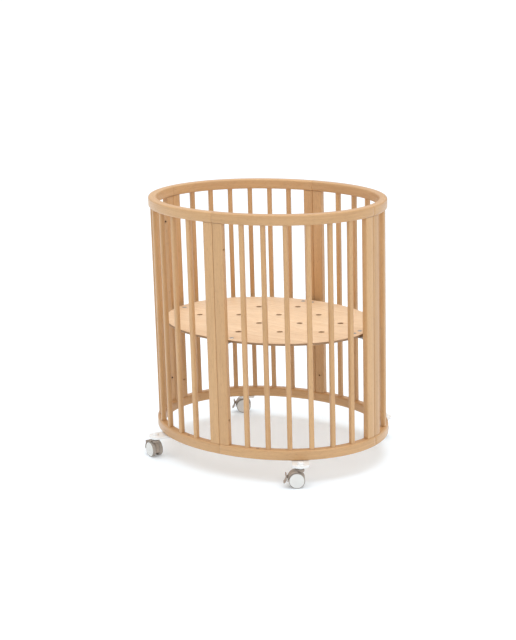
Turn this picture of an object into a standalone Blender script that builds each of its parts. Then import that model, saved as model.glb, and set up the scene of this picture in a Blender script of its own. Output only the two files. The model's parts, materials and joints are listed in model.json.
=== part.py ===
# Oval baby crib on four braked swivel casters, in metres, +Z up, origin on the floor
# under the middle of the oval. Four quarter panels of rails, slats and end posts meet at
# the front, right, back and left joints, and a perforated mattress base hangs between
# the posts and can be set lower. X is the long way of the oval, and the front faces -Y.

import bisect
import math

import bmesh
import bpy
from mathutils import Matrix, Vector

# The oval: a superellipse through the middle of the rails
HALF_LENGTH = 0.399
HALF_WIDTH = 0.3135
ROUNDNESS = 2.055
FRONT_JOINT_SHIFT = 0.008     # front joint to +X, back joint to -X, along the oval
SIDE_JOINT_SHIFT = 0.013      # right joint to -Y, left joint to +Y, along the oval

# Timber
FRAME_TOP = 0.870             # top of the top rail above the floor
RAIL_HEIGHT = 0.034
RAIL_DEPTH = 0.0275
RAIL_CHAMFER = 0.005
POST_WIDTH = 0.0355
POST_DEPTH = 0.0205
POST_CHAMFER = 0.0025
SLAT_WIDTH = 0.016
SLAT_CHAMFER = 0.004
SLATS_PER_PANEL = 6
TENON_RADIUS = 0.0047
TENON_LENGTH = 0.014
POST_TENON_WIDTH = 0.016
POST_TENON_DEPTH = 0.008
GAP = 0.0003                  # between pieces that touch

# Bolts that draw two panels together, and the threaded holes for the mattress base
JOINT_BOLT_RADIUS = 0.004
JOINT_BOLT_INSET = 0.084      # from each rail to the bolt's middle
BASE_HOLE_RADIUS = 0.0035
BASE_HOLE_DEPTH = 0.012
BASE_DROP = 0.255             # from the upper to the lower setting of the base

# Mattress base
BASE_TOP = 0.4515
BASE_THICKNESS = 0.008
BASE_EDGE_INSET = 0.0285      # from the rail's middle line to the plate's edge
VENT_COLUMN_SPACE = 0.1205    # between columns of vents, along X
VENT_PITCH = 0.1225           # between vents in a column, along Y
VENT_RADIUS = 0.010
VENT_MARGIN = 0.045           # least distance from a vent's middle to the plate's edge
BRACKET_WIDTH = 0.050
BRACKET_SHEET = 0.003
BRACKET_FOOT = 0.045
BRACKET_DROP = 0.030
BRACKET_CLEARANCE = 0.002

# Casters, whose heights stack up from the wheels to the frame
CASTER_OUTBOARD = 0.0440      # swivel axis outside the rail's middle line
CASTER_ALONG = 0.006          # swivel axis from the quarter's middle, away from the X ends
CASTER_HEADINGS = {"front_right": 213.0, "back_right": 205.0, "back_left": 213.0, "front_left": 156.0}
WHEEL_RADIUS = 0.026
WHEEL_WIDTH = 0.0125
WHEEL_SPACE = 0.014           # between the two wheels of a pair
WHEEL_SIDES = 24
AXLE_RADIUS = 0.004
TRAIL = 0.013                 # axle behind the swivel axis
BODY_SIDE_CLEARANCE = 0.0008  # between the body and each wheel
BODY_INSET = 0.001            # of the body's front edge from the wheels' rims
HOOD_CLEARANCE = 0.0013       # between the hood and the wheels' rims
HOOD_THICKNESS = 0.0024
HOOD_FIRST_ANGLE = -4.0       # above the axle's level, behind the wheels
HOOD_LAST_ANGLE = 100.0       # just past the top of the wheels
WEB_LAST_ANGLE = 128.0        # the middle of the body goes further, in front of the wheels
COLLAR_RADIUS = 0.012
COLLAR_HEIGHT = 0.007
COLLAR_RISE = 0.0038          # from the top of the hood to the collar's top
SWIVEL_GAP = 0.0015           # between the collar and the mount
MOUNT_HALF_WIDTH = 0.0275
MOUNT_NOSE = 0.0215           # from the swivel axis to the arm's round end
MOUNT_SHEET = 0.0070
MOUNT_BOSS_RADIUS = 0.0105
MOUNT_BOSS_DROP = 0.0145      # from the frame's underside to the bottom of the boss
STEM_RADIUS = 0.005
STEM_RISE = 0.006             # from the frame's underside to the top of the stem
SOCKET_CLEARANCE = 0.0005
SOCKET_ROOF = 0.0025          # from the stem's top to the boss's top
PEDAL_PIVOT = (0.016, 0.011)  # behind and above the axle
PEDAL_PIN_RADIUS = 0.0022
PEDAL_TANG = 0.005
PEDAL_SLOT_CLEARANCE = 0.0006
PEDAL_WIDTH = 0.026
PEDAL_HOOD_CLEARANCE = 0.0021
PEDAL_THICKNESS = 0.0032

BODY_WIDTH = WHEEL_SPACE - 2 * BODY_SIDE_CLEARANCE
HOOD_INNER_RADIUS = WHEEL_RADIUS + HOOD_CLEARANCE
HOOD_RADIUS = HOOD_INNER_RADIUS + HOOD_THICKNESS
HOOD_HALF_WIDTH = WHEEL_SPACE / 2 + WHEEL_WIDTH
COLLAR_TOP = WHEEL_RADIUS + HOOD_RADIUS + COLLAR_RISE
MOUNT_BOSS_BOTTOM = COLLAR_TOP + SWIVEL_GAP
FRAME_BOTTOM = MOUNT_BOSS_BOTTOM + MOUNT_BOSS_DROP
STEM_TOP = FRAME_BOTTOM + STEM_RISE
MOUNT_BOSS_TOP = STEM_TOP + SOCKET_ROOF
PEDAL_REACH = HOOD_RADIUS + PEDAL_HOOD_CLEARANCE

RAIL_STEPS = 16
ARC_STEPS = 4000

COLOURS = {
    "beech": ((0.70, 0.46, 0.27), 0.50, 0.0),
    "plywood": ((0.82, 0.64, 0.44), 0.50, 0.0),
    "white_plastic": ((0.86, 0.86, 0.85), 0.40, 0.0),
    "taupe_plastic": ((0.42, 0.36, 0.30), 0.45, 0.0),
    "wheel_plastic": ((0.66, 0.64, 0.61), 0.35, 0.0),
}


def clear_scene():
    for item in list(bpy.data.objects):
        bpy.data.objects.remove(item, do_unlink=True)


def material(name):
    found = bpy.data.materials.get(name)
    if found:
        return found
    colour, roughness, metallic = COLOURS[name]
    made = bpy.data.materials.new(name)
    made.use_nodes = True
    shader = made.node_tree.nodes["Principled BSDF"]
    shader.inputs["Base Color"].default_value = (*colour, 1.0)
    shader.inputs["Roughness"].default_value = roughness
    shader.inputs["Metallic"].default_value = metallic
    made.diffuse_color = (*colour, 1.0)
    return made


# ---------- the oval ----------

def superellipse(angle):
    c, s = math.cos(angle), math.sin(angle)
    x = HALF_LENGTH * math.copysign(abs(c) ** (2 / ROUNDNESS), c)
    y = HALF_WIDTH * math.copysign(abs(s) ** (2 / ROUNDNESS), s)
    return x, y


def outward(x, y):
    gx = math.copysign((abs(x) / HALF_LENGTH) ** (ROUNDNESS - 1) / HALF_LENGTH, x)
    gy = math.copysign((abs(y) / HALF_WIDTH) ** (ROUNDNESS - 1) / HALF_WIDTH, y)
    length = math.hypot(gx, gy)
    return gx / length, gy / length


def arc_table():
    angles = [2 * math.pi * i / ARC_STEPS for i in range(ARC_STEPS + 1)]
    lengths = [0.0]
    last = superellipse(0.0)
    for angle in angles[1:]:
        point = superellipse(angle)
        lengths.append(lengths[-1] + math.dist(last, point))
        last = point
    return angles, lengths


ARC_ANGLES, ARC_LENGTHS = arc_table()
QUARTER = ARC_LENGTHS[-1] / 4

# Each panel runs counter-clockwise between two joints, as lengths along the oval.
PANELS = {
    "back_right": (-SIDE_JOINT_SHIFT, QUARTER + FRONT_JOINT_SHIFT),
    "back_left": (QUARTER + FRONT_JOINT_SHIFT, 2 * QUARTER - SIDE_JOINT_SHIFT),
    "front_left": (2 * QUARTER - SIDE_JOINT_SHIFT, 3 * QUARTER + FRONT_JOINT_SHIFT),
    "front_right": (3 * QUARTER + FRONT_JOINT_SHIFT, 4 * QUARTER - SIDE_JOINT_SHIFT),
}
JOINTS = [start for start, _ in PANELS.values()]


def on_oval(along, out=0.0):
    """The point at a length along the oval, moved outwards, and the outward direction."""
    along %= ARC_LENGTHS[-1]
    i = min(max(bisect.bisect_right(ARC_LENGTHS, along), 1), ARC_STEPS)
    share = (along - ARC_LENGTHS[i - 1]) / (ARC_LENGTHS[i] - ARC_LENGTHS[i - 1])
    x, y = superellipse(ARC_ANGLES[i - 1] + share * (ARC_ANGLES[i] - ARC_ANGLES[i - 1]))
    nx, ny = outward(x, y)
    return Vector((x + out * nx, y + out * ny, 0.0)), Vector((nx, ny, 0.0))


def slat_places(panel):
    start, end = PANELS[panel]
    clear = end - start - 2 * POST_WIDTH
    space = (clear - SLATS_PER_PANEL * SLAT_WIDTH) / (SLATS_PER_PANEL + 1)
    first = start + POST_WIDTH + space + SLAT_WIDTH / 2
    return [first + k * (space + SLAT_WIDTH) for k in range(SLATS_PER_PANEL)]


# ---------- making meshes ----------

def mesh_from(name, builder):
    bm = bmesh.new()
    builder(bm)
    bmesh.ops.recalc_face_normals(bm, faces=bm.faces)
    mesh = bpy.data.meshes.new(name)
    bm.to_mesh(mesh)
    bm.free()
    return mesh


def skin(bm, rings):
    """Join closed rings of points into one closed body with flat ends."""
    verts = [[bm.verts.new(point) for point in ring] for ring in rings]
    for lower, upper in zip(verts, verts[1:]):
        for i in range(len(lower)):
            j = (i + 1) % len(lower)
            bm.faces.new((lower[i], lower[j], upper[j], upper[i]))
    bm.faces.new(list(reversed(verts[0])))
    bm.faces.new(verts[-1])


def chamfered(width, height, cut):
    """Corner points of a rectangle with its corners cut, counter-clockwise from +X."""
    w, h = width / 2, height / 2
    return [(w, h - cut), (w - cut, h), (cut - w, h), (-w, h - cut),
            (-w, cut - h), (cut - w, -h), (w - cut, -h), (w, cut - h)]


def circle(radius, sides, turn=0.0):
    step = 2 * math.pi / sides
    return [(radius * math.cos(step * i + turn), radius * math.sin(step * i + turn))
            for i in range(sides)]


def prism(bm, outline, low, high):
    skin(bm, [[(x, y, z) for x, y in outline] for z in (low, high)])


def side_prism(bm, outline, half_width):
    """Outline in X and Z, extruded both ways along Y."""
    skin(bm, [[(x, y, z) for x, z in outline] for y in (-half_width, half_width)])


def oval_block(bm, along, out, height):
    """A block that follows the oval, from three pairs: along, outwards and up."""
    plan = [(along[0], out[0]), (along[1], out[0]), (along[1], out[1]), (along[0], out[1])]
    corners = [on_oval(a, o)[0] for a, o in plan]
    prism(bm, [(p.x, p.y) for p in corners], *height)


def rod(bm, start, end, radius, sides):
    """A straight round bar between two points."""
    axis = end - start
    turn = axis.to_track_quat("Z", "Y").to_matrix().to_4x4()
    place = Matrix.Translation((start + end) / 2) @ turn
    bmesh.ops.create_cone(bm, cap_ends=True, segments=sides, radius1=radius,
                          radius2=radius, depth=axis.length, matrix=place)


def combined(name, mesh, steps):
    """The mesh after a list of (operation, builder) Booleans."""
    base = bpy.data.objects.new(name + "_blank", mesh)
    bpy.context.collection.objects.link(base)
    tools = []
    for operation, builder in steps:
        tool = bpy.data.objects.new(name + "_tool", mesh_from(name + "_tool", builder))
        bpy.context.collection.objects.link(tool)
        tool.display_type = "WIRE"
        tool.hide_render = True
        change = base.modifiers.new(operation.lower(), "BOOLEAN")
        change.operation = operation
        change.solver = "EXACT"
        change.object = tool
        tools.append(tool)
    graph = bpy.context.evaluated_depsgraph_get()
    result = bpy.data.meshes.new_from_object(base.evaluated_get(graph))
    result.name = name
    for item in [base, *tools]:
        bpy.data.objects.remove(item, do_unlink=True)
    return result


def put(name, mesh, finish, location=(0, 0, 0), turn=0.0, parent=None, smooth=None):
    part = bpy.data.objects.new(name, mesh)
    bpy.context.collection.objects.link(part)
    part.location = location
    part.rotation_euler = (0.0, 0.0, turn)
    part.parent = parent
    if not mesh.materials:
        mesh.materials.append(material(finish))
    if smooth:
        mesh.shade_smooth()
        mesh.set_sharp_from_angle(angle=math.radians(smooth))
    return part


# ---------- timber ----------

def frame_levels():
    """Heights of the bottom rail's top and the top rail's underside."""
    return FRAME_BOTTOM + RAIL_HEIGHT, FRAME_TOP - RAIL_HEIGHT


def post_ranges(panel):
    """Where the panel's two end posts stand along the oval."""
    start, end = PANELS[panel]
    return (start + GAP / 2, start + POST_WIDTH), (end - POST_WIDTH, end - GAP / 2)


def rail(panel, level, low):
    start, end = PANELS[panel]
    section = chamfered(RAIL_DEPTH, RAIL_HEIGHT, RAIL_CHAMFER)
    first, last = start + GAP / 2, end - GAP / 2
    lower_top, upper_bottom = frame_levels()
    face, inwards = (lower_top, -1) if level == "bottom" else (upper_bottom, 1)

    def bar(bm):
        rings = []
        for i in range(RAIL_STEPS + 1):
            along = first + (last - first) * i / RAIL_STEPS
            ring = [on_oval(along, out)[0] + Vector((0, 0, low + RAIL_HEIGHT / 2 + up))
                    for out, up in section]
            rings.append(ring)
        skin(bm, rings)

    def sockets(bm):
        depth = sorted((face - inwards * 0.002, face + inwards * (TENON_LENGTH + GAP)))
        for along in slat_places(panel):
            centre, normal = on_oval(along)
            turn = math.atan2(normal.y, normal.x)
            outline = circle(TENON_RADIUS + GAP, 8, turn + math.pi / 8)
            prism(bm, [(centre.x + x, centre.y + y) for x, y in outline], *depth)
        for post in post_ranges(panel):
            middle = sum(post) / 2
            half = POST_TENON_WIDTH / 2 + GAP
            deep = POST_TENON_DEPTH / 2 + GAP
            oval_block(bm, (middle - half, middle + half), (-deep, deep), depth)

    name = f"{level}_rail_{panel}"
    return put(name, combined(name, mesh_from(name, bar), [("DIFFERENCE", sockets)]), "beech")


def slat_mesh():
    bottom, top = frame_levels()
    tenon = circle(TENON_RADIUS, 8, math.pi / 8)
    body = chamfered(SLAT_WIDTH, SLAT_WIDTH, SLAT_CHAMFER)
    levels = [(tenon, bottom - TENON_LENGTH), (tenon, bottom + GAP), (body, bottom + GAP),
              (body, top - GAP), (tenon, top - GAP), (tenon, top + TENON_LENGTH)]

    def build(bm):
        skin(bm, [[(x, y, z) for x, y in outline] for outline, z in levels])

    return mesh_from("slat", build)


def slats(panel, mesh):
    for number, along in enumerate(slat_places(panel), 1):
        place, normal = on_oval(along)
        put(f"slat_{panel}_{number}", mesh, "beech", place, math.atan2(normal.y, normal.x))


def joint_bolt_holes(bm, joint):
    """Bolt holes through both posts of a joint, near the top and the bottom."""
    bottom, top = frame_levels()
    centre, normal = on_oval(joint)
    tangent = Vector((-normal.y, normal.x, 0)) * (POST_WIDTH + 0.01)
    for height in (bottom + JOINT_BOLT_INSET, top - JOINT_BOLT_INSET):
        middle = centre + Vector((0, 0, height))
        rod(bm, middle - tangent, middle + tangent, JOINT_BOLT_RADIUS, 10)


def base_screw_height():
    """Middle of the bracket's upright leg, where its screws enter the posts."""
    return BASE_TOP - BASE_THICKNESS - BRACKET_DROP / 2


def base_screw_holes(bm, post):
    """Threaded holes in the post's inner face, one for each setting of the base."""
    middle = sum(post) / 2
    for height in (base_screw_height(), base_screw_height() - BASE_DROP):
        mouth = on_oval(middle, -POST_DEPTH / 2 - 0.002)[0] + Vector((0, 0, height))
        end = on_oval(middle, -POST_DEPTH / 2 + BASE_HOLE_DEPTH)[0] + Vector((0, 0, height))
        rod(bm, mouth, end, BASE_HOLE_RADIUS, 8)


def post(panel, side, stand, joint):
    bottom, top = frame_levels()
    low, high = bottom + GAP, top - GAP
    start, end = stand
    half = POST_DEPTH / 2
    cut = POST_CHAMFER
    plan = [(start, cut - half), (start + cut, -half), ((start + end) / 2, -half),
            (end - cut, -half), (end, cut - half), (end, half - cut), (end - cut, half),
            ((start + end) / 2, half), (start + cut, half), (start, half - cut)]
    outline = [on_oval(along, out)[0] for along, out in plan]
    middle = (start + end) / 2

    def board(bm):
        prism(bm, [(p.x, p.y) for p in outline], low, high)

    def tenons(bm):
        along = (middle - POST_TENON_WIDTH / 2, middle + POST_TENON_WIDTH / 2)
        out = (-POST_TENON_DEPTH / 2, POST_TENON_DEPTH / 2)
        oval_block(bm, along, out, (bottom - TENON_LENGTH, low + 0.004))
        oval_block(bm, along, out, (high - 0.004, top + TENON_LENGTH))

    def holes(bm):
        joint_bolt_holes(bm, joint)
        base_screw_holes(bm, stand)

    name = f"post_{panel}_{side}"
    steps = [("UNION", tenons), ("DIFFERENCE", holes)]
    return put(name, combined(name, mesh_from(name, board), steps), "beech")


# ---------- mattress base ----------

def inside_plate(x, y, margin):
    length = HALF_LENGTH - BASE_EDGE_INSET - margin
    width = HALF_WIDTH - BASE_EDGE_INSET - margin
    return (abs(x) / length) ** ROUNDNESS + (abs(y) / width) ** ROUNDNESS < 1


def vent_places():
    """Columns along Y, each half a pitch from the next, wherever the plate has room."""
    across = int(HALF_LENGTH / VENT_COLUMN_SPACE) + 1
    up = int(HALF_WIDTH / VENT_PITCH) + 1
    places = []
    for i in range(-across, across + 1):
        shift = 0.0 if i % 2 else 0.5
        for j in range(-up - 1, up + 1):
            x, y = i * VENT_COLUMN_SPACE, (j + shift) * VENT_PITCH
            if inside_plate(x, y, VENT_MARGIN):
                places.append((x, y))
    return places


def mattress_base():
    low = BASE_TOP - BASE_THICKNESS
    edge = [on_oval(4 * QUARTER * i / 64, -BASE_EDGE_INSET)[0] for i in range(64)]

    def plate(bm):
        prism(bm, [(p.x, p.y) for p in edge], low, BASE_TOP)

    def brackets(bm):
        for joint in JOINTS:
            centre, normal = on_oval(joint, -POST_DEPTH / 2 - BRACKET_CLEARANCE)
            frame = Matrix.Translation(centre) @ Matrix.Rotation(
                math.atan2(normal.y, normal.x), 4, "Z")
            inner = -(BASE_EDGE_INSET - POST_DEPTH / 2) - BRACKET_FOOT
            half = BRACKET_WIDTH / 2
            section = [(0, low), (0, low - BRACKET_DROP), (-BRACKET_SHEET, low - BRACKET_DROP),
                       (-BRACKET_SHEET, low - BRACKET_SHEET), (inner, low - BRACKET_SHEET),
                       (inner, low + BRACKET_SHEET), (-BRACKET_SHEET - 0.03, low + BRACKET_SHEET),
                       (-BRACKET_SHEET - 0.03, low)]
            skin(bm, [[frame @ Vector((x, y, z)) for x, z in section] for y in (-half, half)])

    def vents(bm):
        for x, y in vent_places():
            outline = [(x + u, y + v) for u, v in circle(VENT_RADIUS, 16)]
            prism(bm, outline, low - 0.01, BASE_TOP + 0.01)

    steps = [("UNION", brackets), ("DIFFERENCE", vents)]
    mesh = combined("mattress_base", mesh_from("mattress_base", plate), steps)
    return put("mattress_base", mesh, "plywood")


# ---------- casters ----------

def caster_place(corner):
    """The swivel axis, and the inward direction of the rail next to it."""
    quarter = ["back_right", "back_left", "front_left", "front_right"].index(corner)
    middle = (quarter + 0.5) * QUARTER
    along = middle + (CASTER_ALONG if quarter % 2 == 0 else -CASTER_ALONG)
    return on_oval(along, CASTER_OUTBOARD)


def mount_mesh():
    """Arm under the rail, in its own frame: swivel axis at the origin, rail towards -X."""
    top = FRAME_BOTTOM - GAP
    reach = CASTER_OUTBOARD + RAIL_DEPTH / 2
    half = MOUNT_HALF_WIDTH
    nose = [(MOUNT_NOSE * math.cos(a), half * math.sin(a))
            for a in (math.radians(-90 + 180 * i / 12) for i in range(13))]
    heel = 0.006
    arm = [*nose, (heel - reach, half), (-reach, half - heel), (-reach, heel - half),
           (heel - reach, -half)]

    def sheet(bm):
        prism(bm, arm, top - MOUNT_SHEET, top)

    def boss(bm):
        prism(bm, circle(MOUNT_BOSS_RADIUS, 16), MOUNT_BOSS_BOTTOM, MOUNT_BOSS_TOP)

    def socket(bm):
        bore = circle(STEM_RADIUS + SOCKET_CLEARANCE, 16)
        prism(bm, bore, MOUNT_BOSS_BOTTOM - 0.01, STEM_TOP + 2 * SOCKET_CLEARANCE)

    steps = [("UNION", boss), ("DIFFERENCE", socket)]
    return combined("caster_mount", mesh_from("caster_mount", sheet), steps)


def body_mesh():
    """Caster body: swivel axis at the origin, axle behind it at +X, hood over both wheels."""
    axle = WHEEL_RADIUS

    def around(radius, first, last, count):
        step = (last - first) / (count - 1)
        turns = [math.radians(first + step * i) for i in range(count)]
        return [(TRAIL + radius * math.cos(a), axle + radius * math.sin(a)) for a in turns]

    front = around(WHEEL_RADIUS - BODY_INSET, WEB_LAST_ANGLE + 12, 205, 6)
    rim = HOOD_RADIUS - 0.0005
    web = [*around(rim, HOOD_FIRST_ANGLE + 4, WEB_LAST_ANGLE - 4, 12), *front,
           (TRAIL - 0.008, axle - 0.012), (TRAIL + 0.008, axle - 0.010)]

    def plate(bm):
        side_prism(bm, web, BODY_WIDTH / 2)

    def hood(bm):
        inner = around(HOOD_INNER_RADIUS, HOOD_FIRST_ANGLE, HOOD_LAST_ANGLE, 14)
        outer = around(HOOD_RADIUS, HOOD_FIRST_ANGLE, HOOD_LAST_ANGLE, 14)
        side_prism(bm, [*outer, *reversed(inner)], HOOD_HALF_WIDTH)

    def collar_and_stem(bm):
        rings = [(COLLAR_RADIUS, COLLAR_TOP - COLLAR_HEIGHT), (COLLAR_RADIUS, COLLAR_TOP),
                 (STEM_RADIUS, COLLAR_TOP), (STEM_RADIUS, STEM_TOP)]
        skin(bm, [[(x, y, z) for x, y in circle(radius, 16)] for radius, z in rings])

    def axle_hole(bm):
        hole = AXLE_RADIUS + SOCKET_CLEARANCE
        rod(bm, Vector((TRAIL, -0.02, axle)), Vector((TRAIL, 0.02, axle)), hole, 16)

    def pedal_slot(bm):
        half = PEDAL_TANG / 2 + PEDAL_SLOT_CLEARANCE
        front, low, high = TRAIL + 0.0075, axle - 0.02, axle + PEDAL_PIVOT[1] + 0.0075
        outline = [(front, low), (TRAIL + 0.06, low), (TRAIL + 0.06, high), (front, high)]
        side_prism(bm, outline, half)

    def pedal_pin(bm):
        x, z = TRAIL + PEDAL_PIVOT[0], WHEEL_RADIUS + PEDAL_PIVOT[1]
        half = BODY_WIDTH / 2 - 0.0008
        rod(bm, Vector((x, -half, z)), Vector((x, half, z)), PEDAL_PIN_RADIUS, 12)

    steps = [("UNION", hood), ("UNION", collar_and_stem), ("DIFFERENCE", axle_hole),
             ("DIFFERENCE", pedal_slot), ("UNION", pedal_pin)]
    return combined("caster_body", mesh_from("caster_body", plate), steps)


def wheels_mesh():
    """Two wheels on their axle, turned about the Y axis through the origin."""
    inner = WHEEL_SPACE / 2
    outer = inner + WHEEL_WIDTH
    soft = 0.002
    half = [(inner, AXLE_RADIUS), (inner, WHEEL_RADIUS - soft), (inner + soft, WHEEL_RADIUS),
            (outer - soft, WHEEL_RADIUS), (outer, WHEEL_RADIUS - soft)]
    profile = [(-y, r) for y, r in reversed(half)] + half
    stretch = 1 / math.cos(math.pi / WHEEL_SIDES)
    rest = math.pi / WHEEL_SIDES

    def build(bm):
        rings = []
        for y, radius in profile:
            ring = circle(radius * stretch, WHEEL_SIDES, rest)
            rings.append([(x, y, z) for x, z in ring])
        skin(bm, rings)

    return mesh_from("caster_wheels", build)


def pedal_mesh():
    """Brake pedal, its pivot at the origin. The blade bows towards the hood at its middle."""
    px, pz = PEDAL_PIVOT
    # Inner face of the blade, top to bottom: out from its nearest place to the hood, and up
    inner = [(0.0026, 0.0210), (0.0008, 0.0165), (0.0, 0.010), (0.0, 0.002), (0.0030, -0.0045),
             (0.0090, -0.0098)]
    outer = [(0.0050, 0.0207), (0.0040, 0.0160), (PEDAL_THICKNESS + 0.0004, 0.010),
             (PEDAL_THICKNESS + 0.0002, 0.0028), (0.0058, -0.0026), (0.0108, -0.0078)]

    def placed(points):
        return [(PEDAL_REACH + x - px, z - pz) for x, z in points]

    def blade(bm):
        side_prism(bm, [*placed(inner), *reversed(placed(outer))], PEDAL_WIDTH / 2)

    def tang(bm):
        reach = PEDAL_REACH - px + 0.0015
        outline = [(-0.0045, -0.0035), (0.0, -0.0055), (reach, -0.0065), (reach - 0.0015, 0.0035),
                   (0.0, 0.0045), (-0.0045, 0.0035)]
        side_prism(bm, outline, PEDAL_TANG / 2)

    def pivot_hole(bm):
        hole = PEDAL_PIN_RADIUS + 0.0005
        rod(bm, Vector((0, -0.02, 0)), Vector((0, 0.02, 0)), hole, 12)

    steps = [("UNION", tang), ("DIFFERENCE", pivot_hole)]
    return combined("brake_pedal", mesh_from("brake_pedal", blade), steps)


def caster(corner, meshes):
    place, normal = caster_place(corner)
    inward = math.atan2(normal.y, normal.x)
    put(f"caster_mount_{corner}", meshes["mount"], "white_plastic", place, inward, smooth=30)
    swivel = bpy.data.objects.new(f"caster_swivel_{corner}", None)
    bpy.context.collection.objects.link(swivel)
    swivel.location = place
    swivel.rotation_euler = (0, 0, math.radians(CASTER_HEADINGS[corner]))
    put(f"caster_body_{corner}", meshes["body"], "taupe_plastic", parent=swivel, smooth=30)
    put(f"caster_wheels_{corner}", meshes["wheels"], "wheel_plastic",
        (TRAIL, 0, WHEEL_RADIUS), parent=swivel, smooth=30)
    pivot = (TRAIL + PEDAL_PIVOT[0], 0, WHEEL_RADIUS + PEDAL_PIVOT[1])
    put(f"brake_pedal_{corner}", meshes["pedal"], "taupe_plastic", pivot, parent=swivel,
        smooth=30)


def main():
    clear_scene()
    slat = slat_mesh()
    caster_meshes = {"mount": mount_mesh(), "body": body_mesh(), "wheels": wheels_mesh(),
                     "pedal": pedal_mesh()}
    for panel, (start, end) in PANELS.items():
        rail(panel, "top", FRAME_TOP - RAIL_HEIGHT)
        rail(panel, "bottom", FRAME_BOTTOM)
        first, last = post_ranges(panel)
        post(panel, "first", first, start)
        post(panel, "last", last, end)
        slats(panel, slat)
        caster(panel, caster_meshes)
    mattress_base()


main()
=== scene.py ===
import bisect
import json
import math

import bmesh
import bpy
from mathutils import Matrix, Vector


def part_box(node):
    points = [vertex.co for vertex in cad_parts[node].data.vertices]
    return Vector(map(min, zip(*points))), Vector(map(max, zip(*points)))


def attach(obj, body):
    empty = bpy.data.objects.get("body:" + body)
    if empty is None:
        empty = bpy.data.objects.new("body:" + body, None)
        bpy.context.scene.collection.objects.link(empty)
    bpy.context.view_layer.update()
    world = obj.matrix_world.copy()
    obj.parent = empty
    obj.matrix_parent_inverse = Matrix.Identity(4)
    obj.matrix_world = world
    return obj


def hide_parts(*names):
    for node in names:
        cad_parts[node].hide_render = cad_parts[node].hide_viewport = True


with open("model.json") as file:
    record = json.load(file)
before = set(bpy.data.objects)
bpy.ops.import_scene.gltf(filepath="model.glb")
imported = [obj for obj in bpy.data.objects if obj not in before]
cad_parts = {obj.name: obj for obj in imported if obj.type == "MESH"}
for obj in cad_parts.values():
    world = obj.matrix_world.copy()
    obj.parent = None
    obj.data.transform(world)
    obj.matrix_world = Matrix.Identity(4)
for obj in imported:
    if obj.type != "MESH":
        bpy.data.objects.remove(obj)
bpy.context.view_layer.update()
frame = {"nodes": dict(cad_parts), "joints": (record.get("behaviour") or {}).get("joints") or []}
print("frame loaded:", len(frame["nodes"]), "nodes")

panels = ["back_right", "back_left", "front_left", "front_right"]  # counter-clockwise from the right


# Node helpers: a wire is one output socket that can be used in sums

class Wire:
    def __init__(self, graph, socket):
        self.graph = graph
        self.socket = socket

    def maths(self, operation, first, second):
        return self.graph.add("ShaderNodeMath", {"operation": operation}, {0: first, 1: second})

    def __add__(self, other):
        return self.maths("ADD", self, other)

    def __radd__(self, other):
        return self.maths("ADD", other, self)

    def __sub__(self, other):
        return self.maths("SUBTRACT", self, other)

    def __rsub__(self, other):
        return self.maths("SUBTRACT", other, self)

    def __mul__(self, other):
        return self.maths("MULTIPLY", self, other)

    def __rmul__(self, other):
        return self.maths("MULTIPLY", other, self)


class Graph:
    def __init__(self, tree):
        self.tree = tree

    def add(self, kind, settings=None, sockets=None, out=0):
        node = self.tree.nodes.new(kind)
        for name, value in (settings or {}).items():
            if name == "stops":
                self.setStops(node.color_ramp.elements, value)
            else:
                setattr(node, name, value)
        for key, value in (sockets or {}).items():
            for item in value if isinstance(value, list) else [value]:
                if isinstance(item, Wire):
                    self.tree.links.new(item.socket, node.inputs[key])
                else:
                    node.inputs[key].default_value = item
        return Wire(self, node.outputs[out]) if node.outputs else node

    def setStops(self, elements, stops):
        while len(elements) < len(stops):
            elements.new(0.5)
        for element, (place, shade) in zip(elements, stops):
            element.position = place
            element.color = (shade, shade, shade, 1)

    def blend(self, share, first, second):
        settings = {"data_type": "RGBA", "clamp_factor": True}
        return self.add("ShaderNodeMix", settings, {0: share, 6: first, 7: second}, 2)

    def scaled(self, vector, factors):
        settings = {"operation": "MULTIPLY"}
        return self.add("ShaderNodeVectorMath", settings, {0: vector, 1: factors})

    def noise(self, vector, scale, detail=2.0, roughness=0.5, distortion=0.0):
        sockets = {"Vector": vector, "Scale": scale, "Detail": detail,
                   "Roughness": roughness, "Distortion": distortion}
        return self.add("ShaderNodeTexNoise", {"normalize": True}, sockets)

    def ramp(self, value, stops):
        return self.add("ShaderNodeValToRGB", {"stops": stops}, {0: value})

    def vector(self, parts):
        return self.add("ShaderNodeCombineXYZ", None, parts)

    def axisOf(self, vector, axis):
        return self.add("ShaderNodeSeparateXYZ", None, {0: vector}, axis)

    def objectPlace(self):
        return self.add("ShaderNodeTexCoord", None, None, "Object")


# Materials

plainIor = 1.45


def newFinish(name, look):
    material = bpy.data.materials.new(name)
    material.use_nodes = True
    tree = material.node_tree
    shader = tree.nodes["Principled BSDF"]
    for label, value in (("Roughness", look["roughness"]), ("Metallic", look.get("metallic", 0.0)),
                         ("IOR", plainIor), ("Coat Weight", look.get("lacquer", 0.0)),
                         ("Coat Roughness", look.get("lacquerRoughness", 0.3))):
        shader.inputs[label].default_value = value
    graph = Graph(tree)

    def feed(socketName, wire):
        tree.links.new(wire.socket, shader.inputs[socketName])

    def bump(height, strength, distance):
        sockets = {"Height": height, "Strength": strength, "Distance": distance}
        feed("Normal", graph.add("ShaderNodeBump", None, sockets))

    return material, graph, feed, bump


beechLook = {
    "pale": (0.665, 0.402, 0.188, 1),
    "deep": (0.435, 0.228, 0.090, 1),
    "fleck": (0.350, 0.185, 0.088, 1),
    "toneRange": 0.30,          # difference between one bar and the next
    "streaks": 190.0,           # growth lines to the metre across the bar
    "streakLength": 0.035,      # how much a line is stretched along the bar
    "fleckDensity": 700.0,
    "roughness": 0.42,
    "lacquer": 0.38,
    "lacquerRoughness": 0.28,
}


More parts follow.
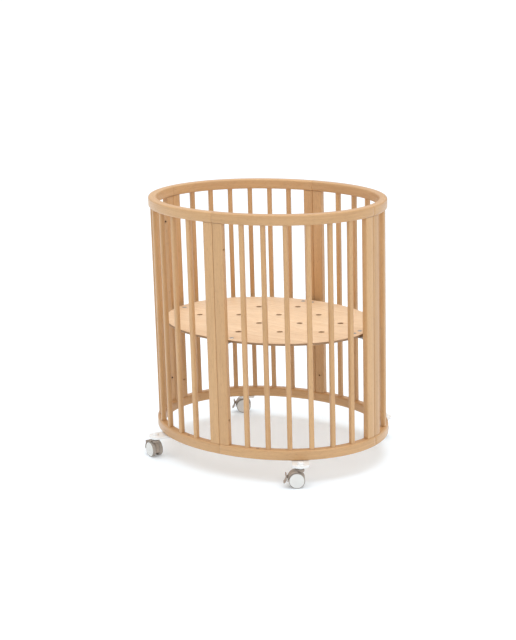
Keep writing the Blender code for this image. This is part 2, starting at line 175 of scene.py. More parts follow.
def beechFinish():
    look = beechLook
    material, graph, feed, bump = newFinish("beech", look)
    place = graph.add("ShaderNodeAttribute", {"attribute_name": "grainPlace"}, None, "Vector")
    tone = graph.add("ShaderNodeAttribute", {"attribute_name": "tone"}, None, "Fac")
    shift = graph.vector({0: tone * 3.1, 1: tone * 1.7, 2: tone * 9.3})
    place = graph.add("ShaderNodeVectorMath", {"operation": "ADD"}, {0: place, 1: shift})
    long = graph.scaled(place, (1, 1, look["streakLength"]))
    streaks = graph.noise(long, look["streaks"], 5.0, 0.62, 0.4)
    fine = graph.noise(graph.scaled(place, (1, 1, 0.02)), look["streaks"] * 4.5, 3.0, 0.6)
    clouds = graph.noise(graph.scaled(place, (1, 1, 0.25)), 22.0, 2.0)
    flecks = graph.noise(graph.scaled(place, (1, 1, 0.10)), look["fleckDensity"], 1.0, 0.4)
    fleckShare = graph.ramp(flecks, [(0.60, 0.0), (0.72, 1.0)])
    grain = graph.ramp(streaks * 0.62 + fine * 0.38, [(0.30, 0.0), (0.70, 1.0)])
    share = grain * 0.56 + (clouds - 0.5) * 0.42 + (tone - 0.5) * look["toneRange"] + 0.08
    colour = graph.blend(share, look["pale"], look["deep"])
    feed("Base Color", graph.blend(fleckShare * 0.42, colour, look["fleck"]))
    feed("Roughness", grain * 0.10 + fleckShare * 0.12 + look["roughness"] - 0.04)
    bump(fine * 0.5 - fleckShare * 0.6 + streaks * 0.4, 0.22, 0.0003)
    return material


plywoodLook = {
    "pale": (0.870, 0.640, 0.420, 1),
    "deep": (0.660, 0.420, 0.230, 1),
    "darkPly": (0.240, 0.130, 0.065, 1),
    "lightPly": (0.480, 0.310, 0.175, 1),
    "plyCount": 5,
    "streaks": 95.0,
    "roughness": 0.46,
    "lacquer": 0.10,
}


def plywoodFinish(bottom, thickness):
    look = plywoodLook
    material, graph, feed, bump = newFinish("plywood", look)
    place = graph.objectPlace()
    bend = graph.noise(place, 3.2, 1.0)
    bent = graph.add("ShaderNodeVectorMath", {"operation": "ADD"},
                     {0: place, 1: graph.vector({1: (bend - 0.5) * 0.16})})
    streaks = graph.noise(graph.scaled(bent, (0.035, 1, 1)), look["streaks"], 5.0, 0.6, 0.5)
    clouds = graph.noise(graph.scaled(bent, (0.3, 1, 1)), 9.0, 2.0)
    pores = graph.noise(graph.scaled(place, (0.09, 1, 1)), 620.0, 1.0, 0.4)
    poreShare = graph.ramp(pores, [(0.60, 0.0), (0.73, 1.0)])
    grain = graph.ramp(streaks, [(0.32, 0.0), (0.70, 1.0)])
    face = graph.blend(grain * 0.55 + (clouds - 0.5) * 0.5, look["pale"], look["deep"])
    face = graph.blend(poreShare * 0.25, face, look["darkPly"])
    height = graph.axisOf(place, 2)
    layer = (height - bottom) * (look["plyCount"] / thickness * 0.5)
    wave = graph.add("ShaderNodeMath", {"operation": "PINGPONG"}, {0: layer, 1: 0.5})
    plies = graph.ramp(wave * 2.0, [(0.42, 0.0), (0.58, 1.0)])
    edge = graph.blend(plies, look["lightPly"], look["darkPly"])
    facing = graph.add("ShaderNodeTexCoord", None, None, "Normal")
    upright = graph.axisOf(facing, 2)
    flat = graph.ramp(graph.add("ShaderNodeMath", {"operation": "ABSOLUTE"}, {0: upright}),
                      [(0.35, 0.0), (0.75, 1.0)])
    feed("Base Color", graph.blend(flat, edge, face))
    feed("Roughness", grain * 0.10 + look["roughness"] + (1.0 - flat) * 0.2)
    bump(streaks * 0.6 - poreShare * 0.5, 0.18, 0.0003)
    return material


plasticLooks = {
    "whitePlastic": {"colour": (0.880, 0.885, 0.880, 1), "shade": (0.80, 0.80, 0.79, 1),
                     "roughness": 0.36, "texture": 900.0, "bump": 0.05},
    "taupePlastic": {"colour": (0.400, 0.325, 0.265, 1), "shade": (0.330, 0.265, 0.215, 1),
                     "roughness": 0.42, "texture": 1100.0, "bump": 0.10},
    "treadRubber": {"colour": (0.420, 0.365, 0.315, 1), "shade": (0.330, 0.285, 0.245, 1),
                    "roughness": 0.58, "texture": 700.0, "bump": 0.16},
    "discPlastic": {"colour": (0.800, 0.790, 0.760, 1), "shade": (0.700, 0.690, 0.660, 1),
                    "roughness": 0.30, "texture": 900.0, "bump": 0.05},
    "coverPlastic": {"colour": (0.420, 0.240, 0.130, 1), "shade": (0.330, 0.185, 0.100, 1),
                     "roughness": 0.45, "texture": 900.0, "bump": 0.08},
}


def plasticFinish(name):
    look = plasticLooks[name]
    material, graph, feed, bump = newFinish(name, look)
    place = graph.objectPlace()
    clouds = graph.noise(place, 35.0, 3.0)
    pebble = graph.noise(place, look["texture"], 2.0, 0.5)
    feed("Base Color", graph.blend(clouds * 0.7 + pebble * 0.3 - 0.1, look["colour"], look["shade"]))
    feed("Roughness", clouds * 0.14 + pebble * 0.06 + look["roughness"] - 0.08)
    bump(pebble, look["bump"], 0.0002)
    return material


steelLooks = {
    "zincSteel": {"colour": (0.50, 0.49, 0.48, 1), "shade": (0.30, 0.29, 0.29, 1),
                  "roughness": 0.32, "metallic": 1.0},
    "blackSteel": {"colour": (0.055, 0.050, 0.048, 1), "shade": (0.035, 0.032, 0.030, 1),
                   "roughness": 0.42, "metallic": 0.9},
}


def steelFinish(name):
    look = steelLooks[name]
    material, graph, feed, bump = newFinish(name, look)
    place = graph.objectPlace()
    crystals = graph.noise(place, 260.0, 3.0)
    scratches = graph.noise(graph.scaled(place, (1, 0.08, 1)), 1500.0, 2.0)
    feed("Base Color", graph.blend(crystals, look["colour"], look["shade"]))
    feed("Roughness", crystals * 0.18 + scratches * 0.12 + look["roughness"] - 0.12)
    bump(scratches, 0.08, 0.0001)
    return material


# The oval that everything follows

oval = {
    "roundness": 2.055,
    "frontJointShift": 0.008,   # front joint to +X, back joint to -X, along the oval
    "sideJointShift": 0.013,    # right joint to -Y, left joint to +Y, along the oval
    "steps": 4000,
}
rails = {
    "depth": 0.0275,
    "cornerRadius": 0.0062,
    "cornerSteps": 7,
    "lengthSteps": 60,
    "gap": 0.0003,              # between one panel and the next
    "easedLength": 0.0014,      # of the softened edge at each end
    "easedShare": 0.92,
}

railLow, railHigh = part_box("top_rail_back_right")
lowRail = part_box("bottom_rail_back_right")
railHeight = railHigh.z - railLow.z
frameBottom = lowRail[0].z
clearBottom = lowRail[1].z
clearTop = railLow.z
halfLength = max(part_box(f"top_rail_{panel}")[1].x for panel in panels) - rails["depth"] / 2
halfWidth = max(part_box(f"top_rail_{panel}")[1].y for panel in panels) - rails["depth"] / 2


def ovalPoint(angle):
    c, s = math.cos(angle), math.sin(angle)
    power = 2 / oval["roundness"]
    return (halfLength * math.copysign(abs(c) ** power, c),
            halfWidth * math.copysign(abs(s) ** power, s))


def outwardAt(x, y):
    power = oval["roundness"] - 1
    gx = math.copysign((abs(x) / halfLength) ** power / halfLength, x)
    gy = math.copysign((abs(y) / halfWidth) ** power / halfWidth, y)
    return Vector((gx, gy, 0)).normalized()


ovalAngles = [2 * math.pi * i / oval["steps"] for i in range(oval["steps"] + 1)]
ovalLengths = [0.0]
for before, after in zip(ovalAngles, ovalAngles[1:]):
    ovalLengths.append(ovalLengths[-1] + math.dist(ovalPoint(before), ovalPoint(after)))
quarter = ovalLengths[-1] / 4
sideShift, frontShift = oval["sideJointShift"], oval["frontJointShift"]
joints = [-sideShift, quarter + frontShift, 2 * quarter - sideShift, 3 * quarter + frontShift]
spans = dict(zip(panels, zip(joints, joints[1:] + [4 * quarter - sideShift])))


def onOval(along, out=0.0, up=0.0):
    along %= ovalLengths[-1]
    i = min(max(bisect.bisect_right(ovalLengths, along), 1), oval["steps"])
    share = (along - ovalLengths[i - 1]) / (ovalLengths[i] - ovalLengths[i - 1])
    x, y = ovalPoint(ovalAngles[i - 1] + share * (ovalAngles[i] - ovalAngles[i - 1]))
    normal = outwardAt(x, y)
    return Vector((x, y, up)) + normal * out, normal


def standing(along, out=0.0, up=0.0):
    # A local frame on the oval: X outwards, Y along the oval, Z up
    point, normal = onOval(along, out, up)
    return Matrix.Translation(point) @ Matrix.Rotation(math.atan2(normal.y, normal.x), 4, "Z")


def toneOf(index):
    return math.modf(0.37 + index * 0.618034)[0]


# Mesh helpers

def meshFrom(name, build):
    bm = bmesh.new()
    build(bm)
    bmesh.ops.recalc_face_normals(bm, faces=bm.faces)
    mesh = bpy.data.meshes.new(name)
    bm.to_mesh(mesh)
    bm.free()
    return mesh


def seedMesh(name, points, edges=(), values=None):
    mesh = bpy.data.meshes.new(name)
    mesh.from_pydata([tuple(p) for p in points], list(edges), [])
    for label, numbers in (values or {}).items():
        kind = "FLOAT_VECTOR" if isinstance(numbers[0], (tuple, Vector)) else "FLOAT"
        attribute = mesh.attributes.new(label, kind, "POINT")
        for item, number in zip(attribute.data, numbers):
            if kind == "FLOAT":
                item.value = number
            else:
                item.vector = number
    return mesh


def evaluated(source):
    graph = bpy.context.evaluated_depsgraph_get()
    mesh = bpy.data.meshes.new_from_object(source.evaluated_get(graph), depsgraph=graph,
                                           preserve_all_data_layers=True)
    bpy.data.objects.remove(source, do_unlink=True)
    return mesh


def linked(name, mesh):
    thing = bpy.data.objects.new(name, mesh)
    bpy.context.scene.collection.objects.link(thing)
    return thing


def prismInto(bm, outline, low, high, place=None, edge=0.0, segments=3):
    # An outline in X and Y raised from low to high, with its rims rounded
    place = place or Matrix.Identity(4)
    rings = [[bm.verts.new((x, y, z)) for x, y in outline] for z in (low, high)]
    count = len(outline)
    caps = [bm.faces.new(list(reversed(rings[0]))), bm.faces.new(rings[1])]
    for i in range(count):
        j = (i + 1) % count
        bm.faces.new((rings[0][i], rings[0][j], rings[1][j], rings[1][i]))
    made = [v for ring in rings for v in ring]
    if edge:
        rims = [e for cap in caps for e in cap.edges]
        rounded = bmesh.ops.bevel(bm, geom=rims, offset=edge, segments=segments, profile=0.5,
                                  affect="EDGES", clamp_overlap=True)
        made = list({v for v in made if v.is_valid} | set(rounded["verts"]))
    bmesh.ops.transform(bm, matrix=place, verts=made)


sideways = Matrix.Rotation(math.radians(90), 4, "X")  # turns an X, Y outline into X, Z


def spunInto(bm, profile, sides, place=None, closed=False):
    # A profile of (height, radius) pairs turned round Z
    place = place or Matrix.Identity(4)
    rings = []
    for height, radius in profile:
        if radius < 1e-7:
            rings.append([bm.verts.new(place @ Vector((0, 0, height)))])
            continue
        turns = [2 * math.pi * i / sides for i in range(sides)]
        rings.append([bm.verts.new(place @ Vector((radius * math.cos(a), radius * math.sin(a), height)))
                      for a in turns])
    pairs = list(zip(rings, rings[1:] + ([rings[0]] if closed else [])))
    for lower, upper in pairs:
        for i in range(sides):
            j = (i + 1) % sides
            corners = [ring[k % len(ring)] for ring, k in
                       ((lower, i), (lower, j), (upper, j), (upper, i))]
            kept = [v for k, v in enumerate(corners) if v not in corners[:k]]
            if len(kept) > 2:
                bm.faces.new(kept)
    if not closed:
        for ring in (rings[0], rings[-1]):
            if len(ring) > 2:
                bm.faces.new(ring)


def carved(name, mesh, steps):
    base = linked(name + "Blank", mesh)
    tools = []
    for operation, build in steps:
        tool = linked(name + "Tool", meshFrom(name + "Tool", build))
        change = base.modifiers.new("cut", "BOOLEAN")
        change.operation = operation
        change.solver = "EXACT"
        change.object = tool
        tools.append(tool)
    result = evaluated(base)
    for tool in tools:
        bpy.data.objects.remove(tool, do_unlink=True)
    return result


def barrelInto(bm, start, end, radius, sides=32):
    axis = end - start
    place = Matrix.Translation(start) @ axis.to_track_quat("Z", "Y").to_matrix().to_4x4()
    spunInto(bm, [(0, radius), (axis.length, radius)], sides, place)


def grainInto(mesh, place, tone):
    back = place.inverted()
    attribute = mesh.attributes.new("grainPlace", "FLOAT_VECTOR", "POINT")
    for vertex, item in zip(mesh.vertices, attribute.data):
        item.vector = back @ vertex.co
    tones = mesh.attributes.new("tone", "FLOAT", "POINT")
    for item in tones.data:
        item.value = tone


def placedCopy(mesh, matrix):
    copy = mesh.copy()
    copy.transform(matrix)
    return copy


def finished(name, mesh, finish, body, nodes=(), sharp=38):
    if not mesh.polygons:
        raise ValueError(f"{name} has no faces")
    mesh.materials.clear()
    mesh.materials.append(finish)
    mesh.polygons.foreach_set("material_index", [0] * len(mesh.polygons))
    mesh.shade_smooth()
    mesh.set_sharp_from_angle(angle=math.radians(sharp))
    piece = linked(name, mesh)
    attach(piece, body)
    if nodes:
        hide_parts(*nodes)
    return piece


# Geometry node helpers

def startTree(name, sizes):
    tree = bpy.data.node_groups.new(name, "GeometryNodeTree")
    tree.interface.new_socket("Geometry", in_out="INPUT", socket_type="NodeSocketGeometry")
    tree.interface.new_socket("Geometry", in_out="OUTPUT", socket_type="NodeSocketGeometry")
    for label, kind in sizes.items():
        tree.interface.new_socket(label, in_out="INPUT", socket_type=f"NodeSocket{kind}")
    graph = Graph(tree)
    entry = tree.nodes.new("NodeGroupInput")
    given = {socket.name: Wire(graph, socket) for socket in entry.outputs if socket.name}
    return graph, given


def endTree(graph, shape, finish):
    real = graph.add("GeometryNodeRealizeInstances", None, {"Geometry": shape})
    dressed = graph.add("GeometryNodeSetMaterial", None, {"Geometry": real, "Material": finish})
    leave = graph.tree.nodes.new("NodeGroupOutput")
    graph.tree.links.new(dressed.socket, leave.inputs["Geometry"])
    return graph.tree


def attributeNamed(graph, label, kind="FLOAT"):
    return graph.add("GeometryNodeInputNamedAttribute", {"data_type": kind}, {"Name": label}, 0)


def stored(graph, shape, label, value, kind="FLOAT"):
    return graph.add("GeometryNodeStoreNamedAttribute", {"data_type": kind, "domain": "POINT"},
                     {"Geometry": shape, "Name": label, "Value": value})


def grown(name, tree, seed, values):
    source = linked(name + "Seed", seed)
    change = source.modifiers.new("grow", "NODES")
    change.node_group = tree
    keys = {item.name: item.identifier for item in tree.interface.items_tree
            if item.in_out == "INPUT"}
    for label, value in values.items():
        change[keys[label]] = value
    return evaluated(source)


def roundedSection(graph, width, height, radius, steps):
    sizes = {"Width": width, "Height": height}
    square = graph.add("GeometryNodeCurvePrimitiveQuadrilateral", {"mode": "RECTANGLE"}, sizes)
    return graph.add("GeometryNodeFilletCurve", {"mode": "POLY"},
                     {"Curve": square, "Count": steps, "Radius": radius, "Limit Radius": True})


def railTree():
    graph, given = startTree("sweptRail", {"Depth": "Float", "Height": "Float", "Corner Radius": "Float",
                                           "Corner Steps": "Int", "Finish": "Material"})
    path = graph.add("GeometryNodeMeshToCurve", None, {"Mesh": given["Geometry"]})
    length = graph.add("GeometryNodeSplineParameter", None, None, "Length")
    path = stored(graph, path, "along", length)
    path = graph.add("GeometryNodeSetCurveNormal", {"mode": "Z_UP"}, {"Curve": path})
    section = roundedSection(graph, given["Depth"], given["Height"], given["Corner Radius"],
                             given["Corner Steps"])
    position = graph.add("GeometryNodeInputPosition")
    section = stored(graph, section, "section", position, "FLOAT_VECTOR")
    bar = graph.add("GeometryNodeCurveToMesh", None,
                    {"Curve": path, "Profile Curve": section, "Fill Caps": True,
                     "Scale": attributeNamed(graph, "swell")})
    across, up = [graph.axisOf(attributeNamed(graph, "section", "FLOAT_VECTOR"), axis)
                  for axis in (0, 1)]
    grain = graph.vector({0: across, 1: up, 2: attributeNamed(graph, "along")})
    bar = stored(graph, bar, "grainPlace", grain, "FLOAT_VECTOR")
    return endTree(graph, bar, given["Finish"])


def makeRails(finish):
    tree = railTree()
    for number, panel in enumerate(panels):
        start, end = spans[panel]
        first, last = start + rails["gap"] / 2, end - rails["gap"] / 2
        eased = rails["easedLength"]
        inner = [first + eased + (last - first - 2 * eased) * i / rails["lengthSteps"]
                 for i in range(rails["lengthSteps"] + 1)]
        places = [first, *inner, last]
        swell = [rails["easedShare"], *[1.0] * len(inner), rails["easedShare"]]
        for level, low in (("top", clearTop), ("bottom", frameBottom)):
            points = [onOval(a, 0, low + railHeight / 2)[0] for a in places]
            tone = toneOf(number + (9 if level == "top" else 2))
            seed = seedMesh("railPath", points, [(i, i + 1) for i in range(len(points) - 1)],
                            {"swell": swell, "tone": [tone] * len(points)})
            mesh = grown("rail", tree, seed, {"Depth": rails["depth"], "Height": railHeight,
                                              "Corner Radius": rails["cornerRadius"],
                                              "Corner Steps": rails["cornerSteps"], "Finish": finish})
            finished(f"{level}Rail.{panel}", mesh, finish, "frame",
                     [f"{level}_rail_{panel}"])
    print("rails made")


slats = {
    "width": 0.016,
    "cornerRadius": 0.0046,
    "cornerSteps": 5,
    "count": 6,
    "shoulderGap": 0.0003,
    "tenonRadius": 0.0045,
    "tenonLength": 0.013,
}


def slatTree():
    graph, given = startTree("slatSet", {"Slat Width": "Float", "Clear Height": "Float",
                                         "Corner Radius": "Float", "Corner Steps": "Int",
                                         "Tenon Radius": "Float", "Tenon Length": "Float",
                                         "Finish": "Material"})
    top = graph.vector({2: given["Clear Height"]})
    line = graph.add("GeometryNodeCurvePrimitiveLine", {"mode": "POINTS"}, {"End": top})
    line = graph.add("GeometryNodeResampleCurve", {"mode": "COUNT"}, {"Curve": line, "Count": 9})
    section = roundedSection(graph, given["Slat Width"], given["Slat Width"],
                             given["Corner Radius"], given["Corner Steps"])
    bar = graph.add("GeometryNodeCurveToMesh", None,
                    {"Curve": line, "Profile Curve": section, "Fill Caps": True})
    overlap = 0.001
    tenon = graph.add("GeometryNodeMeshCylinder", {"fill_type": "NGON"},
                      {"Vertices": 16, "Radius": given["Tenon Radius"],
                       "Depth": given["Tenon Length"] + overlap})
    middle = given["Tenon Length"] * 0.5
    low = graph.vector({2: 0.5 * overlap - middle})
    high = graph.vector({2: given["Clear Height"] + middle - 0.5 * overlap})
    ends = [graph.add("GeometryNodeTransform", None, {"Geometry": tenon, "Translation": place})
            for place in (low, high)]
    slat = graph.add("GeometryNodeJoinGeometry", None, {"Geometry": [bar, *ends]})
    position = graph.add("GeometryNodeInputPosition")
    slat = stored(graph, slat, "grainPlace", position, "FLOAT_VECTOR")
    euler = graph.vector({2: attributeNamed(graph, "turn")})
    rotation = graph.add("FunctionNodeEulerToRotation", None, {0: euler})
    row = graph.add("GeometryNodeInstanceOnPoints", None,
                    {"Points": given["Geometry"], "Instance": slat, "Rotation": rotation})
    return endTree(graph, row, given["Finish"])


def makeSlats(finish):
    tree = slatTree()
    for number, panel in enumerate(panels):
        nodes = [f"slat_{panel}_{i + 1}" for i in range(slats["count"])]
        middles = [(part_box(node)[0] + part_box(node)[1]) / 2 for node in nodes]
        points = [(m.x, m.y, clearBottom + slats["shoulderGap"]) for m in middles]
        outward = [outwardAt(m.x, m.y) for m in middles]
        turns = [math.atan2(n.y, n.x) for n in outward]
        tones = [toneOf(7 * number + i) for i in range(slats["count"])]
        seed = seedMesh("slatPlaces", points, (), {"turn": turns, "tone": tones})
        clear = clearTop - clearBottom - 2 * slats["shoulderGap"]
        mesh = grown("slats", tree, seed, {"Slat Width": slats["width"], "Clear Height": clear,
                                           "Corner Radius": slats["cornerRadius"],
                                           "Corner Steps": slats["cornerSteps"],
                                           "Tenon Radius": slats["tenonRadius"],
                                           "Tenon Length": slats["tenonLength"], "Finish": finish})
        finished(f"slats.{panel}", mesh, finish, "frame", nodes)
    print("slats made")


posts = {
    "width": 0.0355,
    "depth": 0.0205,
    "edge": 0.0032,
    "edgeSteps": 4,
    "tenon": (0.016, 0.008, 0.013),   # along the oval, outwards, and up
    "shoulderGap": 0.0003,
    "boltInset": 0.084,               # from each rail to the bolt's middle
    "boltHole": 0.0042,
    "baseHole": 0.0035,
    "baseHoleDepth": 0.012,
}
base = {
    "drop": 0.255,                    # from the upper to the lower setting
    "thickness": 0.008,
    "edgeInset": 0.0285,              # from the rail's middle line to the plate's edge
    "edgeSteps": 220,
    "easedEdge": 0.0012,
    "ventRadius": 0.010,
    "ventColumnSpace": 0.1205,        # along X
    "ventPitch": 0.1225,              # along Y
    "ventMargin": 0.045,
    "ventSides": 40,
    "bracketWidth": 0.050,
    "bracketSheet": 0.003,
    "bracketFoot": 0.040,
    "bracketDrop": 0.030,
    "bracketClearance": 0.002,
    "screwSpread": 0.0175,            # each side of the bracket's middle
    "screwInset": 0.026,              # from the plate's edge
}
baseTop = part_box("mattress_base")[1].z


def screwHeight():
    return baseTop - base["thickness"] - base["bracketDrop"] / 2


def postOutline(start, end):
    half, edge, steps = posts["depth"] / 2, posts["edge"], posts["edgeSteps"]
    corners = [(end, half, 0), (start, half, 90), (start, -half, 180), (end, -half, 270)]
    outline = []
    for along, out, first in corners:
        ca = along + (-edge if along == end else edge)
        co = out + (-edge if out > 0 else edge)
        for i in range(steps + 1):
            a = math.radians(first + 90 * i / steps)
            outline.append(onOval(ca + edge * math.cos(a), co + edge * math.sin(a))[0])
        if first in (0, 180):
            outline.append(onOval((start + end) / 2, out)[0])
    return [(p.x, p.y) for p in outline]


def makePost(panel, side, start, end, joint, tone, finish):
    low, high = clearBottom + posts["shoulderGap"], clearTop - posts["shoulderGap"]
    middle = (start + end) / 2
    place = standing(middle)
    wide, deep, long = posts["tenon"]

    def board(bm):
        prismInto(bm, postOutline(start, end), low, high)

    def tenons(bm):
        outline = [(deep / 2, wide / 2), (-deep / 2, wide / 2), (-deep / 2, -wide / 2), (deep / 2, -wide / 2)]
        prismInto(bm, outline, clearBottom - long, low + 0.002, place)
        prismInto(bm, outline, high - 0.002, clearTop + long, place)

    def holes(bm):
        for height in (clearBottom + posts["boltInset"], clearTop - posts["boltInset"]):
            across = standing(joint, 0, height)
            barrelInto(bm, across @ Vector((0, -0.05, 0)), across @ Vector((0, 0.05, 0)), posts["boltHole"])
        for height in (screwHeight(), screwHeight() - base["drop"]):
            mouth = onOval(middle, -posts["depth"] / 2 - 0.002, height)[0]
            end = onOval(middle, -posts["depth"] / 2 + posts["baseHoleDepth"], height)[0]
            barrelInto(bm, mouth, end, posts["baseHole"], 24)

    mesh = carved("post", meshFrom("post", board), [("UNION", tenons), ("DIFFERENCE", holes)])
    grainInto(mesh, place, tone)
    finished(f"post.{panel}.{side}", mesh, finish, "frame", [f"post_{panel}_{side}"])


def makePosts(finish):
    for number, panel in enumerate(panels):
        start, end = spans[panel]
        gap = rails["gap"] / 2
        makePost(panel, "first", start + gap, start + posts["width"], start, toneOf(3 * number + 1), finish)
        makePost(panel, "last", end - posts["width"], end - gap, end, toneOf(3 * number + 5), finish)
    print("posts made")


# The mattress base: a perforated plate, its brackets and their screws

def plateTree():
    graph, given = startTree("perforatedPlate", {"Thickness": "Float", "Vent Radius": "Float",
                                                 "Vent Sides": "Int", "Finish": "Material"})
    edge = graph.add("GeometryNodeMeshToCurve", None, {"Mesh": given["Geometry"]})
    circle = graph.add("GeometryNodeCurvePrimitiveCircle", {"mode": "RADIUS"},
                       {"Resolution": given["Vent Sides"], "Radius": given["Vent Radius"]})
    vents = graph.add("GeometryNodeInstanceOnPoints", None,
                      {"Points": given["Geometry"], "Selection": attributeNamed(graph, "vent"),
                       "Instance": circle})
    vents = graph.add("GeometryNodeRealizeInstances", None, {"Geometry": vents})
    outlines = graph.add("GeometryNodeJoinGeometry", None, {"Geometry": [edge, vents]})
    sheet = graph.add("GeometryNodeFillCurve", {"mode": "TRIANGLES"}, {"Curve": outlines})
    lift = graph.vector({2: given["Thickness"]})
    raised = graph.add("GeometryNodeExtrudeMesh", {"mode": "FACES"},
                       {"Mesh": sheet, "Offset": lift, "Offset Scale": 1.0, "Individual": False})
    under = graph.add("GeometryNodeFlipFaces", None, {"Mesh": sheet})
    whole = graph.add("GeometryNodeJoinGeometry", None, {"Geometry": [raised, under]})
    whole = graph.add("GeometryNodeMergeByDistance", None, {"Geometry": whole, "Distance": 0.00002})
    return endTree(graph, whole, given["Finish"])


def ventPlaces():
    longest = halfLength - base["edgeInset"] - base["ventMargin"]
    widest = halfWidth - base["edgeInset"] - base["ventMargin"]
    places = []
    for i in range(-4, 5):
        for j in range(-4, 5):
            x = i * base["ventColumnSpace"]
            y = (j + (0.0 if i % 2 else 0.5)) * base["ventPitch"]
            if (abs(x) / longest) ** oval["roundness"] + (abs(y) / widest) ** oval["roundness"] < 1:
                places.append((x, y))
    return places


def makePlate(finish):
    low = baseTop - base["thickness"]
    steps = base["edgeSteps"]
    rim = [onOval(4 * quarter * i / steps, -base["edgeInset"], 0)[0] for i in range(steps)]
    vents = [Vector((x, y, 0)) for x, y in ventPlaces()]
    seed = seedMesh("plateOutline", rim + vents, [(i, (i + 1) % steps) for i in range(steps)],
                    {"vent": [0.0] * steps + [1.0] * len(vents)})
    mesh = grown("plate", plateTree(), seed, {"Thickness": base["thickness"],
                                              "Vent Radius": base["ventRadius"],
                                              "Vent Sides": base["ventSides"], "Finish": finish})
    mesh.transform(Matrix.Translation((0, 0, low)))
    blank = linked("plateBlank", mesh)
    easing = blank.modifiers.new("ease", "BEVEL")
    easing.width = base["easedEdge"]
    easing.segments = 3
    easing.limit_method = "ANGLE"
    easing.angle_limit = math.radians(50)
    finished("basePlate", evaluated(blank), finish, "mattress_base", ["mattress_base"])
    print("base plate made:", len(vents), "vents")


def makeBrackets(finish):
    low = baseTop - base["thickness"]
    sheet, drop = base["bracketSheet"], base["bracketDrop"]
    inner = -(base["edgeInset"] - posts["depth"] / 2) - base["bracketFoot"]
    bend = [(-sheet + 0.006 * (1 - math.cos(a)) * -1, low - 0.006 * (1 - math.sin(a)))
            for a in (math.radians(15 * i) for i in range(7))]
    outside = [(0.0, low - drop), *[(x + sheet, z) for x, z in bend], (inner, low)]
    section = outside + [(inner, low - sheet), (-sheet - 0.006, low - sheet),
                         (-sheet - 0.0035, low - sheet - 0.0008), (-sheet - 0.0010, low - sheet - 0.0030),
                         (-sheet, low - sheet - 0.0060), (-sheet, low - drop)]

    def build(bm):
        for joint in joints:
            place = standing(joint, -posts["depth"] / 2 - base["bracketClearance"])
            prismInto(bm, section, -base["bracketWidth"] / 2, base["bracketWidth"] / 2,
                      place @ sideways, 0.0006, 2)

    finished("baseBrackets", meshFrom("baseBrackets", build), finish, "mattress_base")
    print("brackets made")


# Screws and bolts, set out on points by one tree

fasteners = {
    "screwHead": 0.0042,
    "screwHeight": 0.0016,
    "recess": 0.0024,
    "recessWidth": 0.0009,
    "boltHead": 0.0040,
    "boltSocket": 0.0022,
    "boltSunk": 0.004,           # of the bolt's head below the post's side
    "plugRadius": 0.0040,        # on the bolt's other end
    "washerRadius": 0.0078,      # round each screw on the base
    "washerHeight": 0.0014,
    "coverRadius": 0.0052,
    "coverHeight": 0.0012,
}


def pointTree():
    graph, given = startTree("setOnPoints", {"Item": "Object", "Finish": "Material"})
    item = graph.add("GeometryNodeObjectInfo", None, {"Object": given["Item"]}, "Geometry")
    rotation = graph.add("FunctionNodeEulerToRotation", None,
                         {0: attributeNamed(graph, "turn", "FLOAT_VECTOR")})
    copies = graph.add("GeometryNodeInstanceOnPoints", None,
                       {"Points": given["Geometry"], "Instance": item, "Rotation": rotation})
    return endTree(graph, copies, given["Finish"])


def screwMesh():
    head, high, arm, wide = (fasteners["screwHead"], fasteners["screwHeight"],
                             fasteners["recess"], fasteners["recessWidth"] / 2)

    def dome(bm):
        profile = [(-0.004, 0.0), (-0.004, head * 0.5), (0.0, head), (high * 0.35, head * 0.98)]
        profile += [(high * math.sin(a), head * 0.96 * math.cos(a))
                    for a in (math.radians(30 + 15 * i) for i in range(4))]
        spunInto(bm, [*profile, (high, 0.0)], 20)

    def cross(bm):
        quarterArm = [(arm, -wide), (arm, wide), (wide, wide)]
        outline = [(x * c - y * s, x * s + y * c) for c, s in ((1, 0), (0, 1), (-1, 0), (0, -1))
                   for x, y in quarterArm]
        prismInto(bm, outline, high - 0.0011, high + 0.001)

    return carved("screw", meshFrom("screw", dome), [("DIFFERENCE", cross)])


def boltMesh():
    head, socket = fasteners["boltHead"], fasteners["boltSocket"]

    def barrel(bm):
        spunInto(bm, [(-0.010, 0.0), (-0.010, head), (-0.0006, head), (0, head - 0.0006), (0, 0.0)], 28)

    def hexagon(bm):
        outline = [(socket * math.cos(math.radians(60 * i)), socket * math.sin(math.radians(60 * i)))
                   for i in range(6)]
        prismInto(bm, outline, -0.003, 0.002)

    return carved("bolt", meshFrom("bolt", barrel), [("DIFFERENCE", hexagon)])


def washerScrewMesh():  # a screw in a cupped washer
    wide, high = fasteners["washerRadius"], fasteners["washerHeight"]

    def washer(bm):
        profile = [(-0.0035, 0.0035), (-0.0035, 0.0045), (-0.0002, wide * 0.90), (0.0, wide),
                   (0.0005, wide), (high * 0.8, wide * 0.88), (high, wide * 0.76),
                   (high * 0.85, wide * 0.66), (0.0002, wide * 0.56), (-0.0010, 0.0035)]
        spunInto(bm, profile, 28, closed=True)

    joined = bmesh.new()
    for mesh in (meshFrom("washer", washer), screwMesh()):
        joined.from_mesh(mesh)
    mesh = bpy.data.meshes.new("washerScrew")
    joined.to_mesh(mesh)
    joined.free()
    return mesh


def plugMesh():
    radius = fasteners["plugRadius"]

    def pin(bm):
        spunInto(bm, [(-0.006, 0.0), (-0.006, radius), (-0.0007, radius), (-0.0003, radius - 0.0004),
                      (-0.0003, 0.0)], 24)

    return meshFrom("plug", pin)


def coverMesh():
    radius, high = fasteners["coverRadius"], fasteners["coverHeight"]

    def dome(bm):
        profile = [(-0.002, 0.0), (-0.002, radius * 0.9), (0, radius), (high * 0.4, radius)]
        profile += [(high * (0.4 + 0.6 * math.sin(a)), radius * math.cos(a) ** 0.35)
                    for a in (math.radians(20 * i) for i in (1, 2, 3))]
        spunInto(bm, [*profile, (high, 0.0)], 24)

    return meshFrom("cover", dome)


